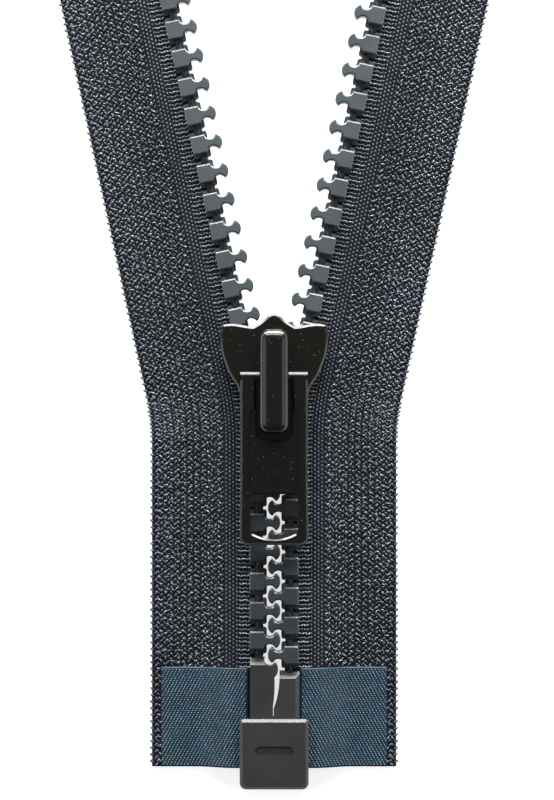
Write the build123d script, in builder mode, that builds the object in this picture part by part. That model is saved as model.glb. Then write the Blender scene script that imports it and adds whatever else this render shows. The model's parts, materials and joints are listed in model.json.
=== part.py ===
"""Separating moulded-tooth zipper, half closed, lying flat: tapes, cords, teeth, end parts, locking slider.

+X right, +Y along the chain from the retainer box to the open legs, +Z up off the table, millimetres.
While modelling, Y is measured from the bottom of the retainer box; save() moves the origin to the
middle of the whole length. The right half is drawn and the left half mirrors it, except the teeth
and the two pins, which interlock.
"""
from build123d import *
import math
import os

os.makedirs("parts", exist_ok=True)

# Chain
PITCH = 3.55                 # distance between teeth on one side
CHAIN_HALF = 2.98            # centre line to the outer edge of a tooth
CHAIN_Z = 2.2                # height of the chain's middle plane
TOOTH_HALF_THICK = 1.25
FIRST_TOOTH_Y = 16.10        # lowest right tooth; the left teeth sit half a pitch higher
CORD_X = 1.86                # core cord, inside the teeth
CORD_RADIUS = 0.58
CORD_HOLE_RADIUS = 0.62

# Spread of the two sides
SPREAD_ANGLE = 12.3          # tilt of each open leg
KINK_Y = 45.6                # where the legs' straight lines would cross the closed edge
KINK_RADIUS = 32.6
LOWER_HINGE_Y = 13.65        # the stringers leave the end parts here
LEG_LENGTH = 78.0            # kink to the cut end of the tape
TOP_STOP_FROM_END = 12.0
TOP_STOP_LENGTH = 3.5

# Tape, across: u runs inward from the teeth's outer edge, so the tape lies at negative u
TAPE_THICK = 0.5
TAPE_BOTTOM_Y = 2.4
TAPE_INNER_U = 0.50
WEB_END_U = -1.87            # the tape is level with the chain out to here
BAND_START_U = -6.52         # and lies on the table from here
TAPE_EDGE_U = -12.1
WEB_SLOT_HALF = 0.28         # half height of the slot in teeth and pins that the web sits in

# Reinforcement film, laminated on both faces of the tape
FILM_THICK = 0.10
FILM_INNER_U = -0.15
FILM_OUTER_U = -10.7

# Tooth, plan view
BODY_LENGTH = 1.90
BODY_HALF = 1.10
HEAD_CENTRE_U = 2.62
HEAD_RADIUS = 1.12
NOTCH_U = 2.46
NOTCH_V = 1.13
NOTCH_RADIUS = 0.68
SHOULDER_END_U = 2.10
SHOULDER_HALF = 1.60
SHOULDER_HALF_THICK = 0.45
TOOTH_CHAMFER = 0.16
TOOTH_CORNER = 0.2

# Pins and retainer box
PIN_HALF_THICK = 1.2
PIN_BOTTOM_Y = 1.4
PIN_BEVEL = 0.85
BOX_HALF = 4.15
BOX_TOP_Y = 8.45
BOX_HEIGHT = 4.4
SOCKET_HALF = 3.15
SOCKET_CLEARANCE = 0.06
SLIT_HALF = 0.45

# Slider
TAIL_Y = 40.6
NOSE_Y = 57.3
BLADE_THICK = 0.8
UPPER_BLADE_Z = 3.6
UPPER_BLADE_TOP = 4.6
FLANGE_GAP = (1.65, 2.75)
FLANGE_CLEARANCE = 0.15
WEDGE_TIP_Y = 50.4
WEDGE_CLEARANCE = 0.2
CLAW_Y = 46.2
CLAW_WIDTH = 1.1
CLAW_LENGTH = 0.8

# Crown, pull tab and lock pawl
CROWN_HALF = 1.75
CROWN_REAR_Y = 42.85
CROWN_FRONT_Y = 55.4
CROWN_TOP = 7.8
CROWN_WALL = 0.45
BAR_Y = 49.7
BAR_Z = 5.4
BAR_RADIUS = 0.65
TAB_END_Y = 29.5
TAB_HALF = 4.05
TAB_HALF_END = 4.15
TAB_THICK = 1.3
PAWL_Z = 6.12
PAWL_THICK = 0.25
PAWL_HALF = 0.8

SPREAD = math.radians(SPREAD_ANGLE)
TANGENT = KINK_RADIUS * math.tan(SPREAD / 2)
BEND_START_Y = KINK_Y - TANGENT
BEND_CENTRE = (CHAIN_HALF + KINK_RADIUS, BEND_START_Y)
BEND_LENGTH = KINK_RADIUS * SPREAD
TOTAL_LENGTH = KINK_Y + LEG_LENGTH * math.cos(SPREAD) + (CHAIN_HALF - CORD_X + CORD_RADIUS) * math.sin(SPREAD)


def save(name, piece):
    """Move a finished piece to the zipper's own origin and write it as one node."""
    placed = Pos(0, -TOTAL_LENGTH / 2, 0) * piece.part
    placed.label = name
    export_step(placed, f"parts/{name}.step")


def save_both_sides(name, right):
    """Write the right piece and its mirror image on the left."""
    save("right_" + name, right)
    with BuildPart() as left:
        mirror(right.part, about=Plane.YZ)
    save("left_" + name, left)


def chain_station(distance):
    """Point and tilt on the right chain edge, at a distance along it from the bottom of the box."""
    along_bend = min(max(distance - BEND_START_Y, 0), BEND_LENGTH)
    beyond = max(distance - BEND_START_Y - BEND_LENGTH, 0)
    tilt = along_bend / KINK_RADIUS
    x = BEND_CENTRE[0] - KINK_RADIUS * math.cos(tilt) + beyond * math.sin(tilt)
    y = BEND_CENTRE[1] + KINK_RADIUS * math.sin(tilt) + beyond * math.cos(tilt)
    return x, min(distance, BEND_START_Y) - BEND_START_Y + y, math.degrees(tilt)


def edge_location(distance, side):
    """Place on the chain edge whose local +X points inward, across the chain."""
    x, y, tilt = chain_station(distance)
    turn = 180 - tilt if side > 0 else tilt
    return Location((side * x, y, 0), (0, 0, turn))


LEG_END = BEND_START_Y + BEND_LENGTH + LEG_LENGTH - TANGENT


# ---------------------------------------------------------------- tapes, cords, film

def route(stretch):
    """Plan line of the right chain edge along one stretch of the stringer."""
    if stretch == "base":
        Line((CHAIN_HALF, TAPE_BOTTOM_Y), (CHAIN_HALF, LOWER_HINGE_Y))
    elif stretch == "lower":
        Line((CHAIN_HALF, LOWER_HINGE_Y), (CHAIN_HALF, BEND_START_Y))
        CenterArc(BEND_CENTRE, KINK_RADIUS, 180, -SPREAD_ANGLE / 2)
    else:
        CenterArc(BEND_CENTRE, KINK_RADIUS, 180 - SPREAD_ANGLE / 2, -SPREAD_ANGLE / 2)
        Line(chain_station(BEND_START_Y + BEND_LENGTH)[:2], chain_station(LEG_END)[:2])


def section_plane(stretch):
    """Plane across the stringer at the start of a stretch: local X is u (inward), local Y is up."""
    starts = {"base": TAPE_BOTTOM_Y, "lower": LOWER_HINGE_Y, "upper": BEND_START_Y + BEND_LENGTH / 2}
    x, y, tilt = chain_station(starts[stretch])
    lean = math.radians(tilt)
    inward = (-math.cos(lean), math.sin(lean), 0)
    return Plane(origin=(x, y, 0), x_dir=inward, z_dir=(math.sin(lean), math.cos(lean), 0))


def across(inner, outer, lift):
    """Closed outline of a layer that follows the tape from u = inner to u = outer, raised by lift."""
    web = CHAIN_Z - TAPE_THICK / 2
    slope = [(WEB_END_U, web), (BAND_START_U, 0)]
    under = [(inner, web)] + slope + [(outer, 0)]
    low, high = lift
    return [(u, z + low) for u, z in under] + [(u, z + high) for u, z in reversed(under)]


def make_tape(stretch):
    raised = FILM_THICK if stretch == "base" else 0
    with BuildPart() as tape:
        with BuildLine():
            route(stretch)
        with BuildSketch(section_plane(stretch)):
            Polygon(*across(TAPE_INNER_U, TAPE_EDGE_U, (raised, TAPE_THICK + raised)), align=None)
        sweep()
    save_both_sides("tape_" + stretch, tape)


def make_cord(stretch):
    with BuildPart() as cord:
        with BuildLine():
            route(stretch)
        with BuildSketch(section_plane(stretch)):
            with Locations((CHAIN_HALF - CORD_X, CHAIN_Z)):
                Circle(CORD_RADIUS)
        sweep()
    save_both_sides("core_cord_" + stretch, cord)


def make_film():
    """Two thin layers, one under and one on the tape, from the pin almost to the tape's edge."""
    thick = TAPE_THICK + FILM_THICK
    with BuildPart() as film:
        for low, high in ((0, FILM_THICK), (thick, thick + FILM_THICK)):
            with BuildSketch(section_plane("base")):
                Polygon(*across(FILM_INNER_U, FILM_OUTER_U, (low, high)), align=None)
            extrude(amount=LOWER_HINGE_Y - TAPE_BOTTOM_Y - 0.05)
    save_both_sides("reinforcement_film", film)


# ---------------------------------------------------------------- teeth and top stops

def tooth_outline():
    """Body, narrow neck and mushroom head of one tooth, u along local X."""
    with Locations((BODY_LENGTH / 2, 0)):
        Rectangle(BODY_LENGTH, 2 * BODY_HALF)
    with Locations((HEAD_CENTRE_U, 0)):
        Circle(HEAD_RADIUS)
    with Locations((NOTCH_U, NOTCH_V), (NOTCH_U, -NOTCH_V)):
        Circle(NOTCH_RADIUS, mode=Mode.SUBTRACT)


def cut_stringer_seat(length):
    """Hole for the core cord and slot for the tape's edge, in a piece moulded on the stringer."""
    reach = CHAIN_HALF - CORD_X
    with Locations((reach, 0, CHAIN_Z)):
        Cylinder(CORD_HOLE_RADIUS, length, rotation=(90, 0, 0), mode=Mode.SUBTRACT)
    with Locations((reach / 2 - 0.5, 0, CHAIN_Z)):
        Box(reach + 1, length, 2 * WEB_SLOT_HALF, mode=Mode.SUBTRACT)


def make_tooth():
    with BuildPart() as tooth:
        with BuildSketch(Plane.XY.offset(CHAIN_Z - TOOTH_HALF_THICK)) as outline:
            tooth_outline()
            fillet(outline.vertices(), radius=TOOTH_CORNER)
        extrude(amount=2 * TOOTH_HALF_THICK)
        chamfer(tooth.edges().group_by(Axis.Z)[0] + tooth.edges().group_by(Axis.Z)[-1], TOOTH_CHAMFER)
        with BuildSketch(Plane.XY.offset(CHAIN_Z - SHOULDER_HALF_THICK)) as shoulder:
            with Locations((SHOULDER_END_U / 2, 0)):
                Rectangle(SHOULDER_END_U, 2 * SHOULDER_HALF)
            fillet(shoulder.vertices(), radius=0.3)
        extrude(amount=2 * SHOULDER_HALF_THICK)
        cut_stringer_seat(4 * BODY_HALF)
    return tooth.part


def make_teeth_rows():
    tooth = make_tooth()
    bend_middle = BEND_START_Y + BEND_LENGTH / 2
    last = LEG_END - TOP_STOP_FROM_END - TOP_STOP_LENGTH - PITCH / 2
    for side, label, first in ((1, "right", FIRST_TOOTH_Y), (-1, "left", FIRST_TOOTH_Y + PITCH / 2)):
        stations = [first + PITCH * i for i in range(int((last - first) / PITCH) + 1)]
        rows = {
            "lower": [s for s in stations if s < bend_middle],
            "upper": [s for s in stations if s > bend_middle],
        }
        for row, places in rows.items():
            with BuildPart() as teeth:
                with Locations(*[edge_location(s, side) for s in places]):
                    add(tooth)
            save(f"{label}_teeth_{row}", teeth)


def make_top_stops():
    for side, label in ((1, "right"), (-1, "left")):
        with BuildPart() as stop:
            with BuildSketch(Plane.XY.offset(CHAIN_Z - TOOTH_HALF_THICK)) as outline:
                with Locations((SHOULDER_END_U / 2, 0)):
                    Rectangle(SHOULDER_END_U, TOP_STOP_LENGTH)
                fillet(outline.vertices(), radius=0.5)
            extrude(amount=2 * TOOTH_HALF_THICK)
            chamfer(stop.edges().group_by(Axis.Z)[0] + stop.edges().group_by(Axis.Z)[-1], 0.2)
            cut_stringer_seat(2 * TOP_STOP_LENGTH)
        with BuildPart() as placed:
            with Locations(edge_location(LEG_END - TOP_STOP_FROM_END - TOP_STOP_LENGTH / 2, side)):
                add(stop.part)
        save(label + "_top_stop", placed)


# ---------------------------------------------------------------- pins and retainer box

def pin_seat(side):
    """Cord hole and web slot along a pin, on the stringer's own line."""
    length = 40
    with Locations((side * CORD_X, 0, CHAIN_Z)):
        Cylinder(CORD_HOLE_RADIUS, length, rotation=(90, 0, 0), mode=Mode.SUBTRACT)
    with Locations((side * (CORD_X + 1), 0, CHAIN_Z)):
        Box(2, length, 2 * (WEB_SLOT_HALF + FILM_THICK), mode=Mode.SUBTRACT)


def make_insertion_pin():
    """Left pin: fits the box's socket, and its tip ends in a tooth-like head under the first right tooth."""
    outer, inner, neck, head_x, top = -2.9, -0.13, 0.05, -0.62, 15.78
    head_y = FIRST_TOOTH_Y - PITCH / 2
    with BuildPart() as pin:
        with BuildSketch(Plane.XY.offset(CHAIN_Z - PIN_HALF_THICK)):
            with BuildLine():
                Polyline((neck, 13.4), (neck, top), (outer, top), (outer, PIN_BOTTOM_Y),
                         (inner, PIN_BOTTOM_Y), (inner, 9.9))
                ThreePointArc((inner, 9.9), (0.02, 11.3), (neck, 13.4))
            make_face()
            with Locations((head_x, head_y)):
                Circle(HEAD_RADIUS - 0.02)
            with Locations((NOTCH_U - CHAIN_HALF, head_y + NOTCH_V)):
                Circle(NOTCH_RADIUS, mode=Mode.SUBTRACT)
        extrude(amount=2 * PIN_HALF_THICK)
        top_edges = pin.edges().filter_by(Axis.X).group_by(Axis.Z)[-1].sort_by(Axis.Y)
        chamfer(top_edges[-1], PIN_BEVEL)
        pin_seat(-1)
    save("insertion_pin", pin)


def make_retainer_pin():
    """Right pin: stands in the box, with a bevelled tip beside the insertion pin's head."""
    outer, inner, tip_inner, top = 3.07, -0.05, 0.66, 14.13
    with BuildPart() as pin:
        with BuildSketch(Plane.XY.offset(CHAIN_Z - PIN_HALF_THICK)):
            with BuildLine():
                Polyline((inner, 9.5), (inner, PIN_BOTTOM_Y), (outer, PIN_BOTTOM_Y), (outer, top), (tip_inner, top),
                         (tip_inner, 13.3))
                ThreePointArc((tip_inner, 13.3), (0.47, 11.4), (inner, 9.5))
            make_face()
        extrude(amount=2 * PIN_HALF_THICK)
        upper = pin.edges().group_by(Axis.Z)[-1]
        chamfer(upper.filter_by(Axis.X).sort_by(Axis.Y)[-1], PIN_BEVEL)
        chamfer(pin.edges().filter_by(Axis.Y).group_by(Axis.Z)[-1].sort_by(Axis.X)[-1], 0.5)
        pin_seat(1)
    save("retainer_pin", pin)


def make_retainer_box():
    socket_low = CHAIN_Z - PIN_HALF_THICK - SOCKET_CLEARANCE
    socket_high = CHAIN_Z + PIN_HALF_THICK + SOCKET_CLEARANCE
    deep = BOX_TOP_Y - PIN_BOTTOM_Y + SOCKET_CLEARANCE
    slit_deep = BOX_TOP_Y - TAPE_BOTTOM_Y + SOCKET_CLEARANCE
    with BuildPart() as box:
        with BuildSketch() as outline:
            with Locations((0, BOX_TOP_Y / 2)):
                Rectangle(2 * BOX_HALF, BOX_TOP_Y)
            fillet(outline.vertices().group_by(Axis.Y)[0], radius=0.8)
            fillet(outline.vertices().group_by(Axis.Y)[-1], radius=0.5)
        extrude(amount=BOX_HEIGHT)
        chamfer(box.edges().group_by(Axis.Z)[-1], 0.35)
        with Locations((0, BOX_TOP_Y - deep / 2, (socket_low + socket_high) / 2)):
            Box(2 * SOCKET_HALF, deep, socket_high - socket_low, mode=Mode.SUBTRACT)
        with Locations((0, BOX_TOP_Y - slit_deep / 2, CHAIN_Z)):
            Box(2 * BOX_HALF + 1, slit_deep, 2 * SLIT_HALF, mode=Mode.SUBTRACT)
        with BuildSketch(Plane.XY.offset(BOX_HEIGHT)):
            with Locations((0, 4.6)):
                SlotOverall(4.6, 1.2)
        extrude(amount=-0.2, mode=Mode.SUBTRACT)
    save("retainer_box", box)


# ---------------------------------------------------------------- slider

def slider_outline():
    """Half the slider's plan: narrow tail, flared shoulders, two mouths and the nose between them."""
    tail, waist, shoulder, corner = (4.0, TAIL_Y), (4.1, 47.2), (6.4, 53.2), (6.2, 55.9)
    Line((0, TAIL_Y), tail)
    Line(tail, waist)
    Spline(waist, (5.3, 49.9), (5.85, 51.2), shoulder, tangents=((0, 1), (0.08, 1)))
    Spline(shoulder, (6.52, 55.0), corner, tangents=((0.08, 1), (-0.8, 0.6)))
    Spline(corner, (4.07, 55.95), (2.6, 55.7), tangents=((-0.8, 0.4), (-1, -0.1)))
    Spline((2.6, 55.7), (1.7, 56.2), (0.97, 56.8), (0, NOSE_Y), tangents=((-0.8, 0.3), (-1, 0)))
    Line((0, NOSE_Y), (0, TAIL_Y))


def channel_outline(half_extra):
    """The room the chain needs inside the slider, both legs, with a margin outside the teeth."""
    edge = CHAIN_HALF + half_extra
    bend_radius = KINK_RADIUS - half_extra
    end_angle = 180 - SPREAD_ANGLE
    end = (BEND_CENTRE[0] + bend_radius * math.cos(math.radians(end_angle)),
           BEND_CENTRE[1] + bend_radius * math.sin(math.radians(end_angle)))
    reach = 12
    far = (end[0] + reach * math.sin(SPREAD), end[1] + reach * math.cos(SPREAD))
    Line((0, TAIL_Y - 1), (edge, TAIL_Y - 1))
    Line((edge, TAIL_Y - 1), (edge, BEND_START_Y))
    CenterArc(BEND_CENTRE, bend_radius, 180, -SPREAD_ANGLE)
    Polyline(end, far, (0, far[1]), (0, TAIL_Y - 1))


def wedge_outline():
    """Diamond that parts the two rows of heads, from its tip to the slider's nose."""
    tip_reach = CHAIN_HALF - HEAD_CENTRE_U - HEAD_RADIUS - WEDGE_CLEARANCE
    wide_y = 56.0
    wide = tip_reach + (wide_y - KINK_Y) * math.tan(SPREAD)
    start = tip_reach + (WEDGE_TIP_Y - KINK_Y) * math.tan(SPREAD)
    Polyline((0, WEDGE_TIP_Y), (start, WEDGE_TIP_Y), (wide, wide_y), (0.85, 56.8), (0, NOSE_Y), (0, WEDGE_TIP_Y))


def make_slider_body():
    with BuildPart() as slider:
        with BuildSketch():
            with BuildLine():
                slider_outline()
            make_face()
            mirror(about=Plane.YZ)
        extrude(amount=UPPER_BLADE_TOP)
        chamfer(slider.edges().group_by(Axis.Z)[0] + slider.edges().group_by(Axis.Z)[-1], 0.25)
        with BuildSketch(Plane.XY.offset(BLADE_THICK)):
            with BuildLine():
                channel_outline(FLANGE_CLEARANCE)
            make_face()
            mirror(about=Plane.YZ)
        extrude(amount=UPPER_BLADE_Z - BLADE_THICK, mode=Mode.SUBTRACT)
        with BuildSketch(Plane.XY.offset(FLANGE_GAP[0])):
            with Locations((0, (TAIL_Y + NOSE_Y) / 2)):
                Rectangle(6 * BOX_HALF, 2 * (NOSE_Y - TAIL_Y))
        extrude(amount=FLANGE_GAP[1] - FLANGE_GAP[0], mode=Mode.SUBTRACT)
        with BuildSketch(Plane.XY.offset(BLADE_THICK / 2)):
            with BuildLine():
                wedge_outline()
            make_face()
            mirror(about=Plane.YZ)
        extrude(amount=UPPER_BLADE_Z)
        with Locations((0, CLAW_Y, UPPER_BLADE_Z)):
            Box(CLAW_WIDTH + 0.4, CLAW_LENGTH + 0.5, 4, mode=Mode.SUBTRACT)
    save("slider_body", slider)


def make_crown_cover():
    """Hood over the lock pawl; its side openings hold the pull tab's bar."""
    length = CROWN_FRONT_Y - CROWN_REAR_Y
    middle = (CROWN_FRONT_Y + CROWN_REAR_Y) / 2
    height = CROWN_TOP - UPPER_BLADE_TOP
    with BuildPart() as crown:
        with BuildSketch(Plane.XY.offset(UPPER_BLADE_TOP)):
            with Locations((0, middle)):
                RectangleRounded(2 * CROWN_HALF, length, 1.2)
        extrude(amount=height)
        fillet(crown.edges().group_by(Axis.Z)[-1], radius=1.1)
        with BuildSketch(Plane.XY.offset(UPPER_BLADE_TOP)):
            with Locations((0, middle)):
                RectangleRounded(2 * (CROWN_HALF - CROWN_WALL), length - 2 * CROWN_WALL, 0.8)
        extrude(amount=height - CROWN_WALL, mode=Mode.SUBTRACT)
        with Locations((0, BAR_Y, UPPER_BLADE_TOP)):
            Box(4 * CROWN_HALF, 2.8, 2 * 1.7, mode=Mode.SUBTRACT)
    save("crown_cover", crown)


def make_lock_pawl():
    """Spring leaf under the crown, with a foot at the front and a claw down through the upper blade."""
    front, rear = 54.0, CLAW_Y - CLAW_LENGTH / 2
    leaf_top = PAWL_Z + PAWL_THICK
    with BuildPart() as pawl:
        with Locations((0, (front + rear) / 2, PAWL_Z + PAWL_THICK / 2)):
            Box(2 * PAWL_HALF, front - rear, PAWL_THICK)
        with Locations((0, front - PAWL_THICK, (UPPER_BLADE_TOP + 0.08 + leaf_top) / 2)):
            Box(2 * PAWL_HALF, 2 * PAWL_THICK, leaf_top - UPPER_BLADE_TOP - 0.08)
        with Locations((0, CLAW_Y, (UPPER_BLADE_Z - 0.1 + leaf_top) / 2)):
            Box(CLAW_WIDTH, CLAW_LENGTH, leaf_top - UPPER_BLADE_Z + 0.1)
    save("lock_pawl", pawl)


def tab_outline():
    Polyline((0, TAB_END_Y), (TAB_HALF_END, TAB_END_Y), (TAB_HALF, TAB_END_Y + 8), (TAB_HALF, BAR_Y), (0, BAR_Y),
                 (0, TAB_END_Y))


def tab_window_outline():
    side, top, bottom, dip = 2.8, 35.6, 31.0, 30.2
    Polyline((-side, bottom), (-side, top), (side, top), (side, bottom))
    ThreePointArc((side, bottom), (0, dip), (-side, bottom))


def make_pull_tab():
    low = BAR_Z - TAB_THICK / 2
    top = BAR_Z + TAB_THICK / 2
    slot_half, slot_y = 2.15, 42.0
    with BuildPart() as tab:
        with BuildSketch(Plane.XY.offset(low)) as outline:
            with BuildLine():
                tab_outline()
            make_face()
            mirror(about=Plane.YZ)
            fillet(outline.vertices().group_by(Axis.Y)[0], radius=1.0)
        extrude(amount=TAB_THICK)
        chamfer(tab.edges().group_by(Axis.Z)[-1].sort_by(Axis.Y)[:-1], 0.25)
        with BuildSketch(Plane.XY.offset(low)) as slot:
            with Locations((0, (slot_y + BAR_Y) / 2)):
                Rectangle(2 * slot_half, BAR_Y - slot_y)
            fillet(slot.vertices().group_by(Axis.Y)[0], radius=1.0)
        extrude(amount=TAB_THICK, mode=Mode.SUBTRACT)
        with BuildSketch(Plane.XY.offset(low)) as window:
            with BuildLine():
                tab_window_outline()
            make_face()
            fillet(window.vertices(), radius=0.6)
        extrude(amount=TAB_THICK, mode=Mode.SUBTRACT)
        rims = tab.edges().group_by(Axis.Z)[-1]
        chamfer(rims.filter_by(lambda rim: abs(rim.center().Y - slot_y) < 0.1 and abs(rim.center().X) < 0.1), 0.3)
        rims = tab.edges().group_by(Axis.Z)[-1]
        chamfer(rims.filter_by(lambda rim: 30 < rim.center().Y < 36 and abs(rim.center().X) < 2.9), 0.2)
        with BuildSketch(Plane.XY.offset(top)) as panel:
            with Locations((0, 40.9)):
                Rectangle(6.1, 9.6)
            fillet(panel.vertices(), radius=0.5)
        extrude(amount=-0.2, mode=Mode.SUBTRACT)
        with Locations((0, BAR_Y, BAR_Z)):
            Cylinder(BAR_RADIUS, 2 * TAB_HALF, rotation=(0, 90, 0))
        with BuildSketch(Plane.XY.offset(top - 0.3)):
            with Locations((0, 37.2)):
                with GridLocations(0.9, 1, 5, 1):
                    Circle(0.22)
        extrude(amount=0.25)
    save("pull_tab", tab)


for stretch in ("base", "lower", "upper"):
    make_tape(stretch)
    make_cord(stretch)
make_film()
make_teeth_rows()
make_top_stops()
make_insertion_pin()
make_retainer_pin()
make_retainer_box()
make_slider_body()
make_crown_cover()
make_lock_pawl()
make_pull_tab()
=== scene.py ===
"""The zipper's looks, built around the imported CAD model: cloth tapes with their yarns, core cords,
reinforcement film, materials, and a scanner-like studio. Metres, in the frame of the CAD model.

On each stringer a place is given by s, the distance along the teeth's outer edge from the bottom of
the retainer box, and w, the distance outward from that edge across the tape.
"""
import bpy
import json
import math
import numpy as np
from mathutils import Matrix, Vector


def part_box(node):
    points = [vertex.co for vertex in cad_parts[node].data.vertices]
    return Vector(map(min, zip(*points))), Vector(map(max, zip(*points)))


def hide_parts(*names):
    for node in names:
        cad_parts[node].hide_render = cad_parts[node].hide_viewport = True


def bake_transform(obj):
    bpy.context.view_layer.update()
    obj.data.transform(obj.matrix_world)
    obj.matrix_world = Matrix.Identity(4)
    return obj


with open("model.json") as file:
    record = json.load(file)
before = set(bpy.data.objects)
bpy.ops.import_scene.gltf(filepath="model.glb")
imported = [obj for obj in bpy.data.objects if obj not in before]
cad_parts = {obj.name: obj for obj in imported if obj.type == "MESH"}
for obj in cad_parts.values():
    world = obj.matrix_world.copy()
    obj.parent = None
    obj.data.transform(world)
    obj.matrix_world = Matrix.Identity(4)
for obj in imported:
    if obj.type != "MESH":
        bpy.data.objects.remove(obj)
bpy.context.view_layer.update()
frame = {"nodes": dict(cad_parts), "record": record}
MM = 0.001
rng = np.random.default_rng(7)

# ---------------------------------------------------------------- dimensions shared with the CAD model
BOX_LOW, BOX_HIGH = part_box("retainer_box")
Y0 = BOX_LOW.y                                   # bottom of the retainer box: s = 0
CHAIN_HALF = 2.98 * MM
CORD_X = 1.86 * MM
CHAIN_Z = 2.2 * MM
SPREAD = math.radians(12.3)
KINK_Y = 45.6 * MM
KINK_RADIUS = 32.6 * MM
HINGE_Y = 13.65 * MM
TAPE_START = 2.4 * MM
LEG_LENGTH = 78 * MM
TAPE_THICK = 0.5 * MM
WEB_END = 1.87 * MM
BAND_START = 6.52 * MM
TAPE_WIDTH = 12.1 * MM
TAPE_INNER = -0.85 * MM
FILM_TOP = 14.5 * MM
FILM_OUTER = 10.75 * MM
TANGENT = KINK_RADIUS * math.tan(SPREAD / 2)
BEND_START = KINK_Y - TANGENT
BEND_LENGTH = KINK_RADIUS * SPREAD
LEG_END = BEND_START + BEND_LENGTH + LEG_LENGTH - TANGENT
SPLIT = 30 * MM                                  # the two cloth pieces of a side meet here
TAPE_TOP = TAPE_THICK * 0.86                     # the ground cloth is thinner than the CAD tape
TAPE_UNDERSIDE = TAPE_THICK * 0.14
YARN_LEVEL = {"front": TAPE_THICK * 0.84, "back": TAPE_THICK * 0.16}
TABLE_CLEARANCE = 0.005 * MM                     # lowest that a yarn may lie

SIDES = (("left", -1), ("right", 1))
# name, first s, last s, bodies it joins, where the turn is spread
STRETCHES = (
    ("start", TAPE_START, SPLIT, ("root", "lower"), (HINGE_Y - 3 * MM, HINGE_Y + 3 * MM)),
    ("leg", SPLIT, LEG_END, ("lower", "upper"), (BEND_START, BEND_START + BEND_LENGTH)),
)
REPLACED = {"start": ("base", "lower"), "leg": ("upper",)}


# ---------------------------------------------------------------- camera and light
def make_camera():
    """A long lens straight above the slider, so that the view is nearly flat."""
    lens, sensor = 150.0, 36.0
    view_height = 96.6 * MM
    subject_height = 3 * MM
    data = bpy.data.cameras.new("camera")
    data.lens = lens
    data.sensor_width = sensor
    data.clip_start = 0.01
    data.clip_end = 10
    camera = bpy.data.objects.new("camera", data)
    camera.location = (0.35 * MM, Y0 + 46.9 * MM, view_height * lens / sensor + subject_height)
    bpy.context.scene.collection.objects.link(camera)
    bpy.context.scene.camera = camera


def area_light(name, place, size, power):
    """A rectangular lamp that faces the table below the camera."""
    data = bpy.data.lights.new(name, "AREA")
    data.shape = "RECTANGLE"
    data.size, data.size_y = size
    data.energy = power
    lamp = bpy.data.objects.new(name, data)
    lamp.location = place
    target = bpy.data.objects["camera"].location.copy()
    target.z = 0
    lamp.rotation_mode = "QUATERNION"
    lamp.rotation_quaternion = (lamp.location - target).to_track_quat("Z", "Y")
    bpy.context.scene.collection.objects.link(lamp)


def make_studio():
    """Dim sky, one low lamp past the open end as in a scanner, faint fills and a glowing white floor."""
    world = bpy.data.worlds.new("studio")
    world.use_nodes = True
    background = world.node_tree.nodes["Background"]
    background.inputs["Color"].default_value = (0.9, 0.95, 1.0, 1)
    background.inputs["Strength"].default_value = 0.16
    bpy.context.scene.world = world
    middle = Y0 + KINK_Y
    area_light("key", (0, middle + 0.36, 0.055), (0.60, 0.11), 9.0)
    area_light("high", (0, middle + 0.30, 0.24), (0.40, 0.10), 2.0)
    area_light("fill_left", (-0.30, middle, 0.20), (0.2, 0.3), 0.25)
    area_light("fill_right", (0.30, middle, 0.20), (0.2, 0.3), 0.25)
    bpy.context.scene.view_settings.view_transform = "Standard"
    half = 3.0
    floor_z = -0.05 * MM
    corners = [(-half, -half, floor_z), (half, -half, floor_z), (half, half, floor_z), (-half, half, floor_z)]
    data = bpy.data.meshes.new("floor")
    data.from_pydata(corners, [], [(0, 1, 2, 3)])
    floor = bpy.data.objects.new("floor", data)
    bpy.context.scene.collection.objects.link(floor)
    material = bpy.data.materials.new("floor")
    material.use_nodes = True
    shader = material.node_tree.nodes["Principled BSDF"]
    shader.inputs["Base Color"].default_value = (0.9, 0.9, 0.9, 1)
    shader.inputs["Roughness"].default_value = 1.0
    shader.inputs["Specular IOR Level"].default_value = 0.0
    shader.inputs["Emission Color"].default_value = (1, 1, 1, 1)
    shader.inputs["Emission Strength"].default_value = 0.72
    data.materials.append(material)


# ---------------------------------------------------------------- materials
def new_material(name, roughness, specular=0.5, coat=0.0, coat_roughness=0.1):
    material = bpy.data.materials.new(name)
    material.use_nodes = True
    tree = material.node_tree
    shader = tree.nodes["Principled BSDF"]
    shader.inputs["Roughness"].default_value = roughness
    shader.inputs["Specular IOR Level"].default_value = specular
    shader.inputs["Coat Weight"].default_value = coat
    shader.inputs["Coat Roughness"].default_value = coat_roughness
    return material, tree, shader


def noise(tree, scale):
    where = tree.nodes.new("ShaderNodeTexCoord")
    texture = tree.nodes.new("ShaderNodeTexNoise")
    texture.inputs["Scale"].default_value = scale
    texture.inputs["Detail"].default_value = 3.0
    tree.links.new(where.outputs["Object"], texture.inputs["Vector"])
    return texture.outputs["Fac"]


def average(tree, first, second):
    """Mean of two factors."""
    half = tree.nodes.new("ShaderNodeMath")
    half.operation = "MULTIPLY"
    half.inputs[1].default_value = 0.5
    tree.links.new(second, half.inputs[0])
    mean = tree.nodes.new("ShaderNodeMath")
    mean.operation = "MULTIPLY_ADD"
    mean.inputs[1].default_value = 0.5
    tree.links.new(first, mean.inputs[0])
    tree.links.new(half.outputs["Value"], mean.inputs[2])
    return mean.outputs["Value"]


def ramp(tree, factor, stops):
    """Colour by factor; each stop is a position and a colour."""
    node = tree.nodes.new("ShaderNodeValToRGB")
    first, last = node.color_ramp.elements
    first.position, first.color = stops[0][0], (*stops[0][1], 1)
    last.position, last.color = stops[-1][0], (*stops[-1][1], 1)
    for position, colour in stops[1:-1]:
        node.color_ramp.elements.new(position).color = (*colour, 1)
    tree.links.new(factor, node.inputs["Fac"])
    return node.outputs["Color"]


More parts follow.
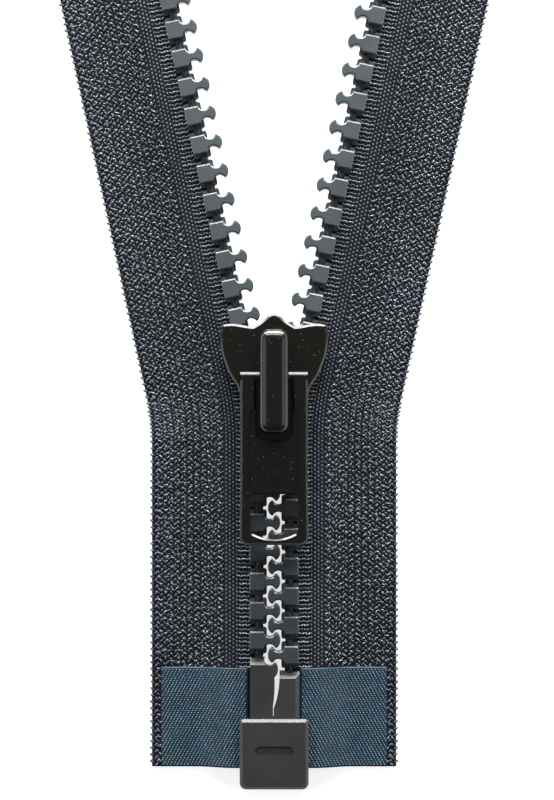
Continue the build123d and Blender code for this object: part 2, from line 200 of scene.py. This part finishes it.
def bump(tree, shader, height, distance):
    node = tree.nodes.new("ShaderNodeBump")
    node.inputs["Distance"].default_value = distance
    tree.links.new(height, node.inputs["Height"])
    tree.links.new(node.outputs["Normal"], shader.inputs["Normal"])


def mottled(name, dark, light, scale, grain, depth, painted_sheen_scale=None, **finish):
    """Colour drifting between two shades, with a fine grain; the optional slower change of shade, at its own
    scale, is painted sheen.
    """
    material, tree, shader = new_material(name, **finish)
    factor = noise(tree, scale)
    if painted_sheen_scale:
        factor = average(tree, factor, noise(tree, painted_sheen_scale))
    colour = ramp(tree, factor, ((0.3, dark), (0.7, light)))
    tree.links.new(colour, shader.inputs["Base Color"])
    bump(tree, shader, noise(tree, grain), depth)
    return material


def enamel():
    """Gloss black enamel with orange peel and a few pale dust specks."""
    material, tree, shader = new_material("enamel", 0.25, specular=0.35, coat=0.25, coat_roughness=0.08)
    where = tree.nodes.new("ShaderNodeTexCoord")
    cells = tree.nodes.new("ShaderNodeTexVoronoi")
    cells.inputs["Scale"].default_value = 1500
    tree.links.new(where.outputs["Object"], cells.inputs["Vector"])
    dust, halo, black = (0.30, 0.30, 0.27), (0.05, 0.05, 0.04), (0.0040, 0.0042, 0.0026)
    specks = ramp(tree, cells.outputs["Distance"], ((0.0, dust), (0.07, halo), (0.12, black)))
    tree.links.new(specks, shader.inputs["Base Color"])
    bump(tree, shader, noise(tree, 1400), 0.012 * MM)
    return material


MATERIALS = {
    "tape": mottled("tape_ground", (0.003, 0.004, 0.006), (0.007, 0.009, 0.013), 260, 6000, 0.04 * MM,
                    roughness=0.8, specular=0.2),
    # The slow drift of the yarn colours, at scale 90, is painted sheen.
    "yarn": mottled("tape_yarn", (0.006, 0.010, 0.016), (0.046, 0.060, 0.075), 900, 9000, 0.02 * MM,
                    painted_sheen_scale=90, roughness=0.36, specular=0.6),
    # Same dark yarn in a much lighter colour: a painted highlight for the glints of the glossy yarn.
    "yarn_painted_highlight": mottled("tape_yarn_painted_highlight", (0.055, 0.070, 0.085), (0.21, 0.24, 0.27), 700, 9000, 0.02 * MM,
                           painted_sheen_scale=90, roughness=0.32, specular=0.8),
    "cord": mottled("core_cord", (0.003, 0.004, 0.006), (0.010, 0.013, 0.018), 900, 9000, 0.02 * MM,
                    roughness=0.45),
    "film": mottled("film_ground", (0.006, 0.018, 0.030), (0.010, 0.027, 0.043), 300, 5000, 0.01 * MM,
                    roughness=0.5, specular=0.3),
    "film_dots": mottled("film_dots", (0.060, 0.115, 0.150), (0.12, 0.20, 0.25), 500, 8000, 0.01 * MM,
                         roughness=0.45),
    # Lighter copy of the teeth colour for the upper, open teeth: painted light, for the light the spread legs
    # catch.
    "teeth_open_painted_light": mottled("teeth_open_painted_light", (0.040, 0.049, 0.055), (0.054, 0.065, 0.072), 180, 7000, 0.006 * MM,
                          roughness=0.36, specular=0.6),
    "teeth": mottled("teeth", (0.024, 0.028, 0.032), (0.034, 0.040, 0.045), 180, 7000, 0.006 * MM,
                     roughness=0.36, specular=0.6),
    "end_parts": mottled("end_parts", (0.018, 0.018, 0.018), (0.026, 0.026, 0.026), 250, 5000, 0.012 * MM,
                         roughness=0.42),
    "slider": enamel(),
    "spring": mottled("spring_steel", (0.35, 0.35, 0.36), (0.45, 0.45, 0.46), 400, 5000, 0.004 * MM,
                      roughness=0.3),
}
MATERIALS["spring"].node_tree.nodes["Principled BSDF"].inputs["Metallic"].default_value = 1.0


# ---------------------------------------------------------------- stringer geometry
def station(s):
    """Right chain edge at distance s: x, y and tilt, as arrays."""
    along = np.clip(s - BEND_START, 0, BEND_LENGTH)
    beyond = np.maximum(s - BEND_START - BEND_LENGTH, 0)
    tilt = along / KINK_RADIUS
    x = CHAIN_HALF + KINK_RADIUS * (1 - np.cos(tilt)) + beyond * np.sin(tilt)
    y = np.minimum(s, BEND_START) + KINK_RADIUS * np.sin(tilt) + beyond * np.cos(tilt)
    return x, Y0 + y, tilt


def fall(w):
    """Height of the middle of the tape above its flat band, by distance from the chain."""
    t = np.clip((w - WEB_END) / (BAND_START - WEB_END), 0, 1)
    return (CHAIN_Z - TAPE_THICK / 2) * (1 - t * t * (3 - 2 * t))


def ripple(s, w, side):
    """Slight unevenness of the loose band, never below the table."""
    height = 0.10 * MM
    fade_in = 3 * MM
    along, across, skew = 420, 380, 130          # radians a metre
    loose = np.clip((w - BAND_START) / fade_in, 0, 1)
    wave = np.sin(s * along + side) * np.sin(w * across + s * skew + 2 * side)
    return height * loose * (1 + wave) / 2


def on_tape(s, w, lift, side):
    """Points at s, w and a height above the tape's underside, on one side of the zipper."""
    x, y, tilt = station(s)
    out_x, out_y = np.cos(tilt), -np.sin(tilt)
    z = fall(w) + ripple(s, w, side) + lift
    return np.stack([side * (x + w * out_x), y + w * out_y, z + 0 * x], axis=-1)


def add_mesh(name, points, faces, materials, face_materials=None, flat_from=None):
    """A mesh object from an array of points and a list of faces, smooth up to face number flat_from."""
    data = bpy.data.meshes.new(name)
    data.from_pydata(points.tolist(), [], faces)
    for material in materials:
        data.materials.append(MATERIALS[material])
    if face_materials is not None:
        data.polygons.foreach_set("material_index", face_materials.astype(np.int32))
    smooth = np.arange(len(faces)) < (len(faces) if flat_from is None else flat_from)
    data.polygons.foreach_set("use_smooth", smooth)
    data.update()
    piece = bpy.data.objects.new(name, data)
    bpy.context.scene.collection.objects.link(piece)
    return piece


def grid_faces(rows, columns, first=0, flip=False):
    """Quads between the points of a grid whose first point is number first."""
    r, c = np.meshgrid(np.arange(rows - 1), np.arange(columns - 1), indexing="ij")
    a = (first + r * columns + c).ravel()
    quad = np.stack([a, a + 1, a + columns + 1, a + columns], axis=1)
    return quad[:, ::-1] if flip else quad


def closed_sheet(top, bottom, flip):
    """One closed sheet from two point grids of the same shape."""
    rows, columns = top.shape[:2]
    count = rows * columns
    points = np.concatenate([top.reshape(-1, 3), bottom.reshape(-1, 3)])
    index = np.arange(count).reshape(rows, columns)
    rim = np.concatenate([index[0], index[1:, -1], index[-1, -2::-1], index[-2:0:-1, 0]])
    after = np.roll(rim, -1)
    wall = np.stack([rim, rim + count, after + count, after], axis=1)
    faces = [grid_faces(rows, columns), grid_faces(rows, columns, count, True), wall]
    faces = np.concatenate(faces)
    return points, faces[:, ::-1] if flip else faces


def make_blend(piece):
    """Bake the piece's transform into its mesh."""
    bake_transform(piece)


# ---------------------------------------------------------------- cloth of the tapes
def make_tape(label, side, stretch):
    """Ground cloth of one stretch, a little narrower than the yarns that edge it."""
    name, first, last = stretch[:3]
    row_step, columns, selvedge_inset = 0.45 * MM, 34, 0.25 * MM
    s = np.linspace(first, last, int((last - first) / row_step))
    w = np.linspace(TAPE_INNER, TAPE_WIDTH - selvedge_inset, columns)
    ss, ww = np.meshgrid(s, w, indexing="ij")
    top = on_tape(ss, ww, TAPE_TOP, side)
    bottom = on_tape(ss, ww, TAPE_UNDERSIDE, side)
    points, faces = closed_sheet(top, bottom, side > 0)
    walls = 2 * (len(s) + len(w) - 2)
    tape = add_mesh(f"{label}_tape_{name}", points, faces.tolist(), ["tape"], flat_from=len(faces) - walls)
    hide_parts(*[f"{label}_tape_{part}" for part in REPLACED[name]])
    return tape


# ---------------------------------------------------------------- yarns
def lozenge():
    """Unit yarn segment: a low-poly ellipsoid along local X."""
    around = 6
    rings = ((-0.62, 0.80), (0.0, 1.0), (0.62, 0.80))
    angle = np.arange(around) * 2 * math.pi / around
    ring = np.stack([np.zeros(around), np.cos(angle), np.sin(angle)], axis=1)
    points = [np.array([[-1.0, 0, 0]])]
    for x, radius in rings:
        points.append(ring * radius + np.array([x, 0, 0]))
    points.append(np.array([[1.0, 0, 0]]))
    k = np.arange(around)
    n = (k + 1) % around
    triangles = [np.stack([0 * k, 1 + n, 1 + k], axis=1)]
    for base in (1, 1 + around):
        triangles.append(np.stack([base + k, base + n, base + around + n], axis=1))
        triangles.append(np.stack([base + k, base + around + n, base + around + k], axis=1))
    tip, last = 1 + 3 * around, 1 + 2 * around
    triangles.append(np.stack([last + k, last + n, 0 * k + tip], axis=1))
    return np.concatenate(points), np.concatenate(triangles)


LOZENGE_POINTS, LOZENGE_FACES = lozenge()


def segments(s, w, angle, size, lift, side):
    """Yarn segments at s, w, turned by angle from the direction across the tape; size is half extents."""
    step = 0.02 * MM                             # for the tape's own directions at each place
    centre = on_tape(s, w, lift, side)
    along = on_tape(s + step, w, lift, side) - centre
    out = on_tape(s, w + step, lift, side) - centre
    along /= np.linalg.norm(along, axis=1)[:, None]
    out /= np.linalg.norm(out, axis=1)[:, None]
    up = np.cross(out, along) * side
    c, t = np.cos(angle)[:, None], np.sin(angle)[:, None]
    x_axis = out * c + along * t
    y_axis = along * c - out * t
    half_long, half_wide, half_high = (np.broadcast_to(v, s.shape) for v in size)
    shape = LOZENGE_POINTS[None]
    points = (centre[:, None] + x_axis[:, None] * (shape[..., :1] * half_long[:, None, None])
              + y_axis[:, None] * (shape[..., 1:2] * half_wide[:, None, None])
              + up[:, None] * (shape[..., 2:] * half_high[:, None, None]))
    faces = LOZENGE_FACES[None] + (np.arange(len(s)) * len(LOZENGE_POINTS))[:, None, None]
    faces = faces.reshape(-1, 3)
    return points.reshape(-1, 3), faces if side > 0 else faces[:, ::-1]


def jitter(count, amount):
    return rng.uniform(-amount, amount, count)


def rows_between(first, last, step):
    """Evenly spaced rows that carry on over the join of two stretches."""
    rows = np.arange(TAPE_START + step / 2, LEG_END - step / 2, step)
    return rows[(rows >= first) & (rows < last)]


def lattice(first, last, s_step, w_first, w_last, w_step):
    """Rows across the tape, every second column half a step on."""
    across = np.arange(w_first, w_last, w_step)
    s, w = np.meshgrid(rows_between(first, last, s_step), across, indexing="ij")
    columns = np.broadcast_to(np.arange(w.shape[1])[None], w.shape)
    s = np.minimum(s + (columns % 2) * s_step / 2, LEG_END - 0.1 * MM)
    return s.ravel(), w.ravel(), columns.ravel()


def weft_dashes(first, last):
    """Floats of the weft beside the teeth, each a wavy row of short twists, coloured lighter than the yarn as
    a painted highlight.
    """
    pitch, twists, step = 0.50 * MM, 4, 0.36 * MM
    rows = rows_between(first, last, pitch)
    s, k = (v.ravel() for v in np.meshgrid(rows, np.arange(twists), indexing="ij"))
    s = s + jitter(len(s), 0.03 * MM)
    w = (k + 0.25) * step + np.repeat(jitter(len(rows), 0.10 * MM), twists) - 0.02 * MM
    turn = np.where(k % 2, 0.45, -0.45) + jitter(len(s), 0.15)
    bright = np.repeat(np.arange(len(rows)) % 2 == 0, twists)
    high = np.where(bright, 0.19 * MM, 0.07 * MM)
    return s, w, turn, (0.23 * MM, np.where(bright, 0.11 * MM, 0.07 * MM), high), "yarn_painted_highlight"


def plain_weave(first, last):
    """Fine columns of plain weave between the weft floats and the knit."""
    s, w, _ = lattice(first, last, 0.50 * MM, 1.52 * MM, 3.1 * MM, 0.42 * MM)
    turn = np.full(len(s), math.pi / 2) + jitter(len(s), 0.12)
    return s, w, turn, (0.23 * MM, 0.15 * MM, 0.12 * MM), "yarn"


def knit(first, last):
    """Pebbled ground of the tape: short loops leaning both ways."""
    s, w, column = lattice(first, last, 0.62 * MM, 3.3 * MM, 11.2 * MM, 0.41 * MM)
    s = s + jitter(len(s), 0.07 * MM)
    w = w + jitter(len(s), 0.05 * MM)
    turn = np.where(column % 2, 0.85, -0.85) + jitter(len(s), 0.30)
    size = (0.31 * MM + jitter(len(s), 0.05 * MM), 0.135 * MM + jitter(len(s), 0.02 * MM), 0.13 * MM)
    return s, w, turn, size, "yarn"


def glints(first, last):
    """Painted highlights on the knit: short yarns here and there on top of it, coloured lighter to stand in
    for glints.
    """
    s, w, column = lattice(first, last, 0.95 * MM, 3.5 * MM, 11.0 * MM, 0.74 * MM)
    s = s + jitter(len(s), 0.28 * MM)
    w = w + jitter(len(s), 0.16 * MM)
    turn = np.where(column % 2, -0.6, 0.6) + jitter(len(s), 0.5)
    size = (0.25 * MM + jitter(len(s), 0.07 * MM), 0.105 * MM, 0.16 * MM)
    return s, w, turn, size, "yarn_painted_highlight"


def selvedge(first, last):
    """Chain of loops that closes the tape's outer edge."""
    s = rows_between(first, last, 0.40 * MM)
    outer = np.arange(len(s)) % 2
    w = np.where(outer, TAPE_WIDTH - 0.30 * MM, TAPE_WIDTH - 0.72 * MM) + jitter(len(s), 0.06 * MM)
    turn = np.where(outer, 0.5, -0.8) + jitter(len(s), 0.2)
    return s, w, turn, (0.36 * MM, 0.16 * MM, 0.15 * MM), "yarn"


def make_yarns(label, side, stretch, face):
    """All the yarn that shows on one face of one stretch of tape, as one piece."""
    name, first, last = stretch[:3]
    # The second slot is the lighter yarn colour, a painted highlight.
    slots = ["yarn", "yarn_painted_highlight"]
    points, faces, slot_of_face, total = [], [], [], 0
    for zone in (weft_dashes, plain_weave, knit, glints, selvedge):
        s, w, turn, size, material = zone(first, last)
        if name == "start" and face == "front":
            keep = (s > FILM_TOP) | (w > FILM_OUTER)
            size = tuple(v[keep] if np.ndim(v) else v for v in size)
            s, w, turn = s[keep], w[keep], turn[keep]
        p, f = segments(s, w, turn, size, YARN_LEVEL[face], side)
        points.append(p)
        faces.append(f + total)
        slot_of_face.append(np.full(len(f), slots.index(material)))
        total += len(p)
    points = np.concatenate(points)
    points[:, 2] = np.maximum(points[:, 2], TABLE_CLEARANCE)
    faces = np.concatenate(faces).tolist()
    yarns = add_mesh(f"{label}_yarns_{name}_{face}", points, faces, slots, np.concatenate(slot_of_face))
    return yarns


# ---------------------------------------------------------------- core cords
def make_cord(label, side, stretch):
    """Core cord with its twisted wrapping, seen between the teeth."""
    name, first, last = stretch[:3]
    around, strands, lay = 14, 3, 1.05 * MM
    row_step, mean_radius, strand_depth = 0.085 * MM, 0.545 * MM, 0.055 * MM
    s = np.linspace(first, last, int((last - first) / row_step))
    angle = np.arange(around) * 2 * math.pi / around
    ss, aa = np.meshgrid(s, angle, indexing="ij")
    radius = mean_radius + strand_depth * np.cos(strands * aa - 2 * math.pi * ss / lay)
    x, y, tilt = station(ss)
    w = CORD_X - CHAIN_HALF + radius * np.cos(aa)
    z = CHAIN_Z + radius * np.sin(aa)
    points = np.stack([side * (x + w * np.cos(tilt)), y - w * np.sin(tilt), z], axis=-1)
    rows = len(s)
    index = np.arange(rows * around).reshape(rows, around)
    a, b = index[:-1], np.roll(index, -1, axis=1)[:-1]
    c, d = np.roll(index, -1, axis=1)[1:], index[1:]
    faces = np.stack([a, b, c, d], axis=-1).reshape(-1, 4)
    faces = faces.tolist() + [index[0, ::-1].tolist(), index[-1].tolist()]
    if side < 0:
        faces = [face[::-1] for face in faces]
    cord = add_mesh(f"{label}_cord_{name}", points.reshape(-1, 3), faces, ["cord"])
    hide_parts(*[f"{label}_core_cord_{part}" for part in REPLACED[name]])
    return cord


# ---------------------------------------------------------------- reinforcement film
def make_film(label, side):
    """Thin laminated film, its cut edge, and the diagonal twill that prints through it."""
    film_inner, film_low, film_high = 0.15 * MM, 0.02 * MM, 0.15 * MM
    s = np.linspace(TAPE_START, FILM_TOP, 48)
    w = np.linspace(film_inner, FILM_OUTER, 40)
    ss, ww = np.meshgrid(s, w, indexing="ij")
    top = on_tape(ss, ww, TAPE_TOP + film_high, side)
    bottom = on_tape(ss, ww, TAPE_TOP + film_low, side)
    points, faces = closed_sheet(top, bottom, side > 0)

    spacing = 0.42 * MM
    row_step = spacing * 0.62
    dot_size, dot_turn, dot_lift = (0.125 * MM, 0.075 * MM, 0.045 * MM), -0.9, 0.145 * MM
    dot_rows = np.arange(TAPE_START + 0.25 * MM, FILM_TOP - 0.3 * MM, row_step)
    dot_columns = np.arange(0.35 * MM, FILM_OUTER - 0.15 * MM, spacing)
    ds, dw = np.meshgrid(dot_rows, dot_columns, indexing="ij")
    row = np.arange(len(dot_rows))[:, None]
    dw = dw - (row % 3) * spacing / 3 + spacing
    keep = (dw < FILM_OUTER - 0.12 * MM).ravel()
    ds, dw = ds.ravel()[keep], dw.ravel()[keep]
    turn = np.full(len(ds), dot_turn)
    dots, dot_faces = segments(ds, dw, turn, dot_size, TAPE_TOP + dot_lift, side)

    face_materials = np.concatenate([np.zeros(len(faces)), np.ones(len(dot_faces))])
    all_faces = faces.tolist() + (dot_faces + len(points)).tolist()
    all_points = np.concatenate([points, dots])
    film = add_mesh(f"{label}_film", all_points, all_faces, ["film", "film_dots"], face_materials)
    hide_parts(f"{label}_reinforcement_film")
    return film


# ---------------------------------------------------------------- put together
def paint_cad():
    """Give each CAD node that stays in view its own material."""
    slots = {part["node"]: part["material_slot"] for part in frame["record"]["subparts"]}
    for node, piece in frame["nodes"].items():
        # The upper, open teeth take the lighter copy of the teeth colour, which is painted light.
        key = "teeth_open_painted_light" if node.endswith("teeth_upper") else slots[node]
        piece.data.materials.clear()
        piece.data.materials.append(MATERIALS[key])


make_camera()
make_studio()
paint_cad()
for label, side in SIDES:
    for stretch in STRETCHES:
        name, first, last = stretch[:3]
        tape = make_tape(label, side, stretch)
        yarns = [make_yarns(label, side, stretch, face) for face in ("front", "back")]
        cord = make_cord(label, side, stretch)
        for piece in [tape, cord] + yarns:
            make_blend(piece)
    film = make_film(label, side)
    make_blend(film)
